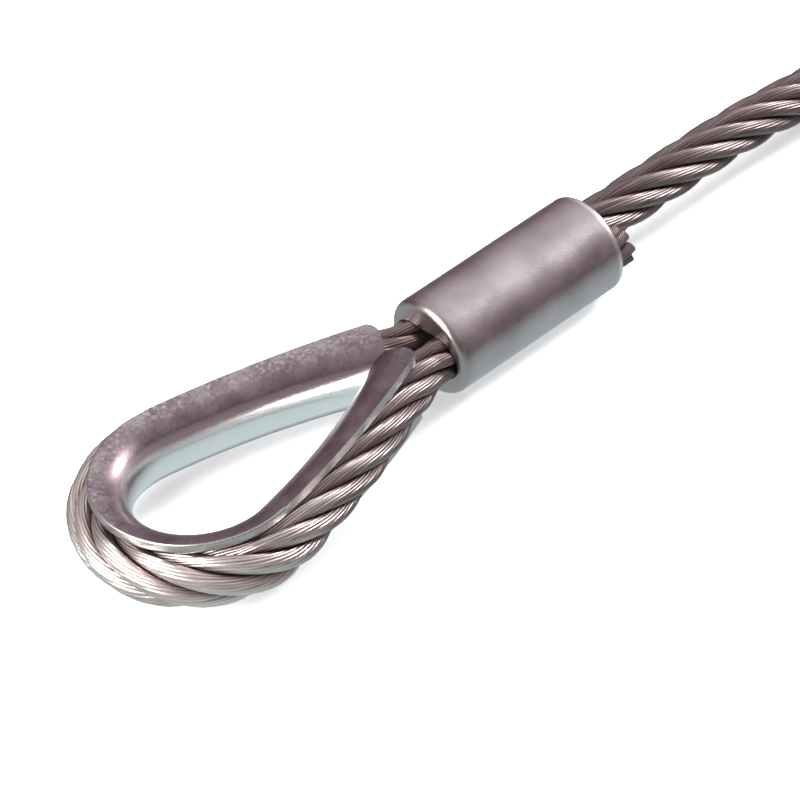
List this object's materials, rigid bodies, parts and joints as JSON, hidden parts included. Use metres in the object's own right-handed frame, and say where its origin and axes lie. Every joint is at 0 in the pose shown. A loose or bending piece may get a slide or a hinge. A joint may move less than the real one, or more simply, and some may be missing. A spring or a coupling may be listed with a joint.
{
  "type": "wire rope sling",
  "caption": "Single-leg steel wire rope sling with a teardrop thimble eye and a pressed sleeve at each end, its spare length wound into a tied coil.",
  "frame": {"origin": "centre of the crown arc of the first thimble, on its middle plane, where a shackle pin passes", "axes": "+X from that crown to its ferrule, along the sling; +Z along the pin, up from the surface that the sling lies on; +Y completes the right hand"},
  "size_m": [0.324, 0.1689, 0.0241],
  "materials": {
    "thimble_steel": "bright zinc plated pressed sheet, slightly pebbled",
    "ferrule_alloy": "satin, swaged",
    "rope_wire": "bright drawn wire",
    "tie_wire": "soft annealed wire"
  },
  "bodies": {
    "root": {"thimble_a": "thimble_steel", "ferrule_a": "ferrule_alloy", "pressed_legs_a": "rope_wire", "eye_core_a": "rope_wire", "thimble_b": "thimble_steel", "ferrule_b": "ferrule_alloy", "pressed_legs_b": "rope_wire", "eye_core_b": "rope_wire", "eye_strand_1_a": "rope_wire", "eye_strand_2_a": "rope_wire", "eye_strand_3_a": "rope_wire", "eye_strand_4_a": "rope_wire", "eye_strand_5_a": "rope_wire", "eye_strand_6_a": "rope_wire", "eye_strand_1_b": "rope_wire", "eye_strand_2_b": "rope_wire", "eye_strand_3_b": "rope_wire", "eye_strand_4_b": "rope_wire", "eye_strand_5_b": "rope_wire", "eye_strand_6_b": "rope_wire", "rope_run_a": "rope_wire", "rope_coil": "rope_wire", "rope_run_b": "rope_wire", "coil_tie_1": "tie_wire", "coil_tie_2": "tie_wire"}
  },
  "joints": []
}
